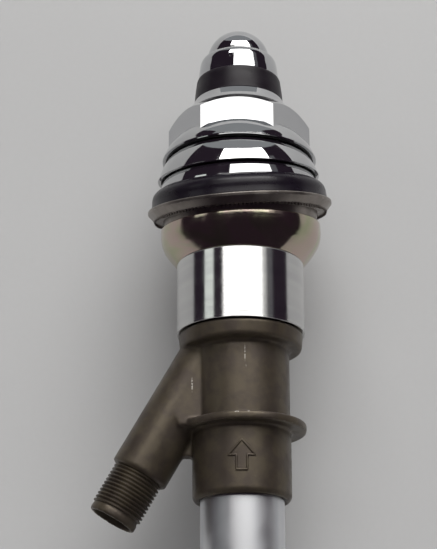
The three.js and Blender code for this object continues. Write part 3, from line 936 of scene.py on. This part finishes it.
def mark_corners(mesh, scale):
    """Stores how far each point stands out from its neighbours, for the wear."""
    n = len(mesh.vertices)
    co = read_vectors(mesh, "co")
    no = read_vectors(mesh, "normal")
    pairs = np.empty(len(mesh.edges) * 2, np.int64)
    mesh.edges.foreach_get("vertices", pairs)
    pairs = pairs.reshape(-1, 2)
    total, count = np.zeros((n, 3)), np.zeros(n)
    for a, b in ((0, 1), (1, 0)):
        np.add.at(total, pairs[:, a], co[pairs[:, b]])
        np.add.at(count, pairs[:, a], 1)
    out = ((co - total / count[:, None]) * no).sum(1) / scale
    attribute = mesh.attributes.new("corner", "FLOAT", "POINT")
    attribute.data.foreach_set("value", np.clip(out, 0, 1).astype(np.float32))


SKIN_FACE, RELAX_ROUNDS, SHARP_REACH = 0.29, 2, 0.05
skin_mesh = cast_over(blank, SKIN_FACE, RELAX_ROUNDS)
skin_mesh.shade_smooth()
mark_corners(skin_mesh, SHARP_REACH)
set_in_place("cast_y_housing", skin_mesh, "mast_base", "bronzed_casting", ["y_housing"])

# %% [markdown]
# ## Lead thread
# The branch ends in a fine thread for the aerial lead's nut. A thread is one small
# ridge carried along a helix, a rule that Geometry Nodes follow well: a long grid is
# bent so that its length runs round the helix and its width makes the ridge.

# %% Helical thread
thread, thread_in, thread_out = geometry_group("helical_thread", {
    "Crest": ("Float", 4.97), "Root": ("Float", 4.4), "Pitch": ("Float", 0.75),
    "Turns": ("Float", 11.6), "Start": ("Float", 39.25), "Steps": ("Int", 640),
    "Finish": ("Material", None),
})
grid = add_node(thread, "GeometryNodeMeshGrid", None, _0=1.0, _1=1.0, _2=thread_in["Steps"], _3=5)
parts = own_position(thread)
t = maths(thread, "ADD", parts[0], 0.5)
row = maths(thread, "ROUND", maths(thread, "MULTIPLY_ADD", parts[1], 4.0, 2.0))
turned_by = maths(thread, "MULTIPLY", t, thread_in["Turns"])
left = maths(thread, "MULTIPLY", maths(thread, "SUBTRACT", 1.0, t), thread_in["Turns"])
fade = maths(thread, "MULTIPLY", maths(thread, "MULTIPLY", turned_by, 2.0, clamp=True),
             maths(thread, "MULTIPLY", left, 2.0, clamp=True))
depth = maths(thread, "SUBTRACT", thread_in["Crest"], thread_in["Root"])
rise = maths(thread, "MULTIPLY", depth, fade)
side = value_by_row(thread, row, (0.0, 1.0, 1.0, 0.0, 0.0))
width = value_by_row(thread, row, (-0.47, -0.07, 0.07, 0.47, -0.47))
radius = maths(thread, "MULTIPLY_ADD", rise, side, thread_in["Root"])
angle = maths(thread, "MULTIPLY", turned_by, 2 * math.pi)
advance = maths(thread, "MULTIPLY", turned_by, thread_in["Pitch"])
offset_z = maths(thread, "MULTIPLY", width, thread_in["Pitch"])
height = maths(thread, "ADD", maths(thread, "ADD", advance, offset_z), thread_in["Start"])
helix = bend_round(thread, grid, radius, angle, height)
end_tree(thread, helix, thread_in["Finish"], thread_out["Geometry"])
thread_mesh = run_nodes("lead_thread", thread, {
    "Crest": 4.97, "Root": 4.4, "Pitch": 0.75, "Turns": 11.6, "Start": 39.25, "Steps": 640,
    "Finish": finishes[("bronzed_casting", True)]})
thread_mesh.shade_smooth()
thread_mesh.set_sharp_from_angle(angle=math.radians(35))
thread_mesh.transform(BRANCH)
set_in_place("lead_thread", thread_mesh, "mast_base", "bronzed_casting")

# %% [markdown]
# A plain raised arrow on the housing shows which side faces out. The set screw at the
# back clamps the tube, and a cream insulator with a brass pin sits in the lead socket.

# %% Arrow, set screw and socket
ARROW = ((0, -50.3), (2.5, -53.2), (1.0, -53.2), (1.0, -56.0), (-1.0, -56.0), (-1.0, -53.2),
         (-2.5, -53.2))
path = bpy.data.curves.new("arrow_path", "CURVE")
path.dimensions = "3D"
path.bevel_depth = 0.24
path.bevel_resolution = 3
line = path.splines.new("POLY")
rib = [(Vector(a) * (1 - k / 8) + Vector(b) * (k / 8))
       for a, b in zip(ARROW, ARROW[1:] + ARROW[:1]) for k in range(8)]
line.points.add(len(rib) - 1)
for point, (x, z) in zip(line.points, rib):
    point.co = (x, -math.sqrt(9.47 ** 2 - x * x), z, 1)
line.use_cyclic_u = True
arrow_maker = add_object("arrow_maker", path)
arrow = evaluated_mesh(arrow_maker)
bpy.data.objects.remove(arrow_maker)
arrow.shade_smooth()
set_in_place("fitting_arrow", arrow, "mast_base", "bronzed_casting")

screw_blank = turned("screw_blank", [(0, 8.05), (1.3, 8.05), (1.5, 8.3), (1.5, 9.75),
                                     (1.35, 9.9), (0, 9.9)], 64, 0.06)
slot_cutter = slab("slot_cutter", [(-2, -0.22), (2, -0.22), (2, 0.22), (-2, 0.22)], 9.2, 10.5)
screw = carve(screw_blank, [("DIFFERENCE", slot_cutter)])
screw.shade_smooth()
screw.set_sharp_from_angle(angle=math.radians(20))
set_in_place("slotted_set_screw", screw, "mast_base", "plated_steel", ["tube_set_screw"], SCREW)
core = turned("socket_insulator", [(1.3, 23.4), (3.95, 23.4), (3.95, 43.5), (1.3, 43.5)], 72, 0.15)
set_in_place("socket_insulator", core, "mast_base", "cream_insulator", ["lead_insulator"], BRANCH)
pin = turned("socket_pin", [(0, 18.5), (1.2, 18.5), (1.2, 43.6), *flowing([(1.15, 43.75),
             (0.9, 43.92), (0.5, 43.98), (0, 44.0)], 4)], 48, 0.05)
set_in_place("socket_pin", pin, "mast_base", "brass", ["lead_pin"], BRANCH)

# %% [markdown]
# ## Mast
# Four thin tubes nest one in another, each with its top lip rolled in round the next, and a solid
# rod slides in the last. The tubes follow one rule with four sets of sizes, so one tree makes all
# of them; the rod is turned.

# %% Telescopic sections
section, section_in, section_out = geometry_group("telescopic_section", {
    "Outer": ("Float", 4.2), "Inner": ("Float", 3.8), "Lip": ("Float", 3.63),
    "Bottom": ("Float", -200.0), "Top": ("Float", 30.6), "Sides": ("Int", 97),
    "Finish": ("Material", None),
})
grid = add_node(section, "GeometryNodeMeshGrid", None,
                _0=1.0, _1=1.0, _2=section_in["Sides"], _3=9)
parts = own_position(section)
row = maths(section, "ROUND", maths(section, "MULTIPLY_ADD", parts[1], 8.0, 4.0))
outer, inner, lip = (section_in[k] for k in ("Outer", "Inner", "Lip"))
low, high = section_in["Bottom"], section_in["Top"]
PROFILE = (
    (inner, 0, low, 0), (outer, 0, low, 0), (outer, 0, high, -0.45), (outer, -0.04, high, -0.2),
    (outer, -0.13, high, 0), (lip, 0, high, 0), (lip, 0, high, -2), (inner, 0, high, -2.3),
    (inner, 0, low, 0),
)
reach = [maths(section, "ADD", radius, extra) for radius, extra, _, _ in PROFILE]
level = [maths(section, "ADD", height, extra) for _, _, height, extra in PROFILE]
rolled = bend_round(section, grid, value_by_row(section, row, reach),
                    maths(section, "MULTIPLY", parts[0], 2 * math.pi),
                    value_by_row(section, row, level))
end_tree(section, rolled, section_in["Finish"], section_out["Geometry"])

OUTER = (4.2, 3.5, 2.8, 2.1)
ROD_RADIUS, WALL, LIP_GAP = 1.4, 0.4, 0.13
TOPS = (30.6, 31.0, 31.4, 31.8)
BOTTOMS = (-200.0, -192.0, -184.0, -176.0)
for i, (radius, top, bottom) in enumerate(zip(OUTER, TOPS, BOTTOMS)):
    following = (*OUTER, ROD_RADIUS)[i + 1]
    stick = run_nodes(f"section_tube_{i + 1}", section, {
        "Outer": radius, "Inner": radius - WALL, "Lip": following + LIP_GAP, "Bottom": bottom,
        "Top": top, "Sides": 97, "Finish": finishes[("mast_nickel", True)]})
    stick.shade_smooth()
    stick.set_sharp_from_angle(angle=math.radians(30))
    set_in_place(f"section_tube_{i + 1}", stick, f"section_{i + 1}", "mast_nickel",
                 [f"mast_section_{i + 1}"])
whip = turned("section_rod_5", [
    (0, -168), (ROD_RADIUS, -168), (ROD_RADIUS, 36.48), (0, 36.48)], 64, 0.1)
set_in_place("section_rod_5", whip, "section_5", "mast_nickel", ["mast_section_5"])
TIP_RADIUS, TIP_CENTRE, TIP_STEPS = 6.4, 32.2, 32
first = math.asin(0.46 / TIP_RADIUS)
tip_angles = [first + (math.pi / 2 - first) * i / TIP_STEPS for i in range(TIP_STEPS)]
cap = turned("chrome_tip", [
    *[(TIP_RADIUS * math.cos(a), TIP_CENTRE + TIP_RADIUS * math.sin(a)) for a in tip_angles],
    (0, 38.6), (0, 36.5), (1.46, 36.5), (1.46, 32.66)], 160, 0.12)
set_in_place("chrome_tip", cap, "section_5", "chrome", ["mast_tip"])

# %% [markdown]
# ## Pieces that stay as the CAD made them
# The neck and its bush, the tube liner, contact ring, buffer, wiper and brass feet are
# hidden inside, and their shapes are right already. They keep their meshes and get a
# finish that reads object coordinates.

# %% Inner pieces
INSIDE = {
    "mast_wiper": "felt", "neck_bush": "black_nylon", "mast_contact_ring": "brass",
    "tube_liner": "cream_insulator", "foot_buffer": "black_rubber",
    "threaded_neck": "plated_steel", **{f"mast_foot_{i}": "brass" for i in range(1, 6)},
}
for node, slot in INSIDE.items():
    obj = frame["nodes"][node]
    obj.data.materials.clear()
    obj.data.materials.append(finishes[(slot, False)])
print(len(INSIDE), "CAD nodes keep their shape")

# %% [markdown]
# ## Table, room and light
# Polished metal has no look of its own: it shows the room. The aerial lies against a
# pale table top, under a grey ceiling in a dim room, with one tall window in front
# of it and a narrow one further round. The table sheet goes with the mast, because
# the mast lies on it. It can be seen through from behind, and it fades where a camera
# sees it edge-on, so that no grey line crosses the picture.


# %% Stage helpers
def sheet(name, centre, width, height, facing):
    """A flat sheet of the stage, with its front towards facing."""
    mesh = bpy.data.meshes.new(name)
    w, h = width / 2, height / 2
    mesh.from_pydata([(-w, -h, 0), (w, -h, 0), (w, h, 0), (-w, h, 0)], [], [(0, 1, 2, 3)])
    turn = Vector(facing).to_track_quat("Z", "Y").to_matrix().to_4x4()
    mesh.transform(Matrix.Translation(centre) @ turn)
    obj = add_object(name, mesh)
    return obj


def one_sided(tree, shader, clear):
    """Shows the shader from the front of a sheet and the clear one from behind."""
    behind = add_node(tree, "ShaderNodeNewGeometry")
    return add_node(tree, "ShaderNodeMixShader", None, _0=behind.outputs["Backfacing"],
                    _1=shader.outputs[0], _2=clear.outputs[0])


def glowing(name, colour, strength):
    material = bpy.data.materials.new(name)
    material.use_nodes = True
    tree = material.node_tree
    tree.nodes.clear()
    light = add_node(tree, "ShaderNodeEmission", None, _0=rgba(colour), _1=strength)
    choose = one_sided(tree, light, add_node(tree, "ShaderNodeBsdfTransparent"))
    add_node(tree, "ShaderNodeOutputMaterial", None, _0=choose.outputs[0])
    return material


def panel(name, azimuths, elevations, distance, colour, strength, steps=12):
    """A curved glowing panel that fills a range of azimuth and elevation."""
    mesh = bpy.data.meshes.new(name)
    verts, faces = [], []
    for i in range(steps + 1):
        e = math.radians(elevations[0] + (elevations[1] - elevations[0]) * i / steps)
        for j in range(steps + 1):
            a = math.radians(azimuths[0] + (azimuths[1] - azimuths[0]) * j / steps)
            verts.append(Vector((math.sin(a) * math.cos(e), -math.cos(a) * math.cos(e),
                                 math.sin(e))) * distance)
    for i in range(steps):
        for j in range(steps):
            k = i * (steps + 1) + j
            faces.append((k, k + steps + 1, k + steps + 2, k + 1))
    mesh.from_pydata(verts, [], faces)
    obj = add_object(name, mesh)
    mesh.materials.append(glowing(name, colour, strength))
    obj.visible_camera = False
    return obj


# %% Table
def pale_top(name, fades_edge_on):
    """A pale, faintly mottled top, clear from behind."""
    material = bpy.data.materials.new(name)
    material.use_nodes = True
    tree = material.node_tree
    shader = tree.nodes["Principled BSDF"]
    place = add_node(tree, "ShaderNodeTexCoord").outputs["Object"]
    fleck = add_node(tree, "ShaderNodeTexNoise", None, _0=place, _2=900.0, _3=3.0)
    slow = add_node(tree, "ShaderNodeTexNoise", None, _0=place, _2=9.0, _3=2.0)
    shade = blend_colour(tree, slow.outputs[0], rgba((0.535, 0.537, 0.541)),
                         rgba((0.575, 0.577, 0.581)))
    shade = blend_colour(tree, maths(tree, "MULTIPLY", fleck.outputs[0], 0.12), shade,
                         rgba((0.4, 0.4, 0.4)))
    feed(tree, shader.inputs["Base Color"], shade)
    shader.inputs["Roughness"].default_value = 0.6
    clear = add_node(tree, "ShaderNodeBsdfTransparent")
    shown = one_sided(tree, shader, clear)
    if fades_edge_on:
        slant = add_node(tree, "ShaderNodeLayerWeight", None, _0=0.5)
        seen = add_node(tree, "ShaderNodeLightPath")
        edge_on = maths(tree, "MULTIPLY", ranged(tree, slant.outputs["Facing"], 0.72, 0.84),
                        seen.outputs["Is Camera Ray"])
        shown = add_node(tree, "ShaderNodeMixShader", None, _0=edge_on,
                         _1=shown.outputs[0], _2=clear.outputs[0])
    feed(tree, tree.nodes["Material Output"].inputs[0], shown.outputs[0])
    return material


FLOOR_Z = cad_box[0][2] - 0.0005
TABLE_Y = 0.0222
TABLE_TOP = 0.5
TABLE_WIDTH, FLOOR_WIDTH = 1.4, 1.6

table = sheet("table_sheet", (0, TABLE_Y, (TABLE_TOP + FLOOR_Z) / 2), TABLE_WIDTH,
              TABLE_TOP - FLOOR_Z, (0, -1, 0))
table.data.materials.append(pale_top("pale_table", True))
table.parent = frame["bodies"]["mast_base"]
floor = sheet("floor_sheet", (0, 0, FLOOR_Z), FLOOR_WIDTH, FLOOR_WIDTH, (0, 0, 1))
floor.data.materials.append(pale_top("pale_floor", False))
floor.visible_glossy = False
print("table sheet at y", TABLE_Y, "floor at z", round(FLOOR_Z, 4))

# %% Windows, ceiling and dim room
WINDOW_COLOUR = (1.0, 0.99, 0.97)
NEAR, FAR = 1.4, 1.45
panel("window_low", (-31, 40), (14, 27), NEAR, WINDOW_COLOUR, 2.3)
panel("window_frame", (40, 48), (14, 27), NEAR, WINDOW_COLOUR, 0.7)
panel("window_middle", (-14, 49), (27, 43), NEAR, WINDOW_COLOUR, 3.0)
panel("window_high", (-31, 49), (43, 62), NEAR, WINDOW_COLOUR, 6.2)
panel("curtain", (49, 60), (14, 50), NEAR, (0.95, 0.93, 1.0), 0.14)
panel("narrow_window", (-67, -49), (13, 29), FAR, (0.95, 1.0, 0.95), 0.95)
panel("ceiling", (-180, 180), (62, 90), FAR, (0.94, 0.97, 1.0), 0.34, steps=24)

world = bpy.data.worlds.new("dim_room")
bpy.context.scene.world = world
world.use_nodes = True
tree = world.node_tree
dim = tree.nodes["Background"]
dim.inputs[0].default_value = (0.026, 0.018, 0.027, 1)
pale = add_node(tree, "ShaderNodeBackground", None, _0=(0.52, 0.52, 0.51, 1), _1=1.0)
seen = add_node(tree, "ShaderNodeLightPath")
choose = add_node(tree, "ShaderNodeMixShader", None, _0=seen.outputs["Is Camera Ray"],
                  _1=dim.outputs[0], _2=pale.outputs[0])
tree.links.new(choose.outputs[0], tree.nodes["World Output"].inputs[0])
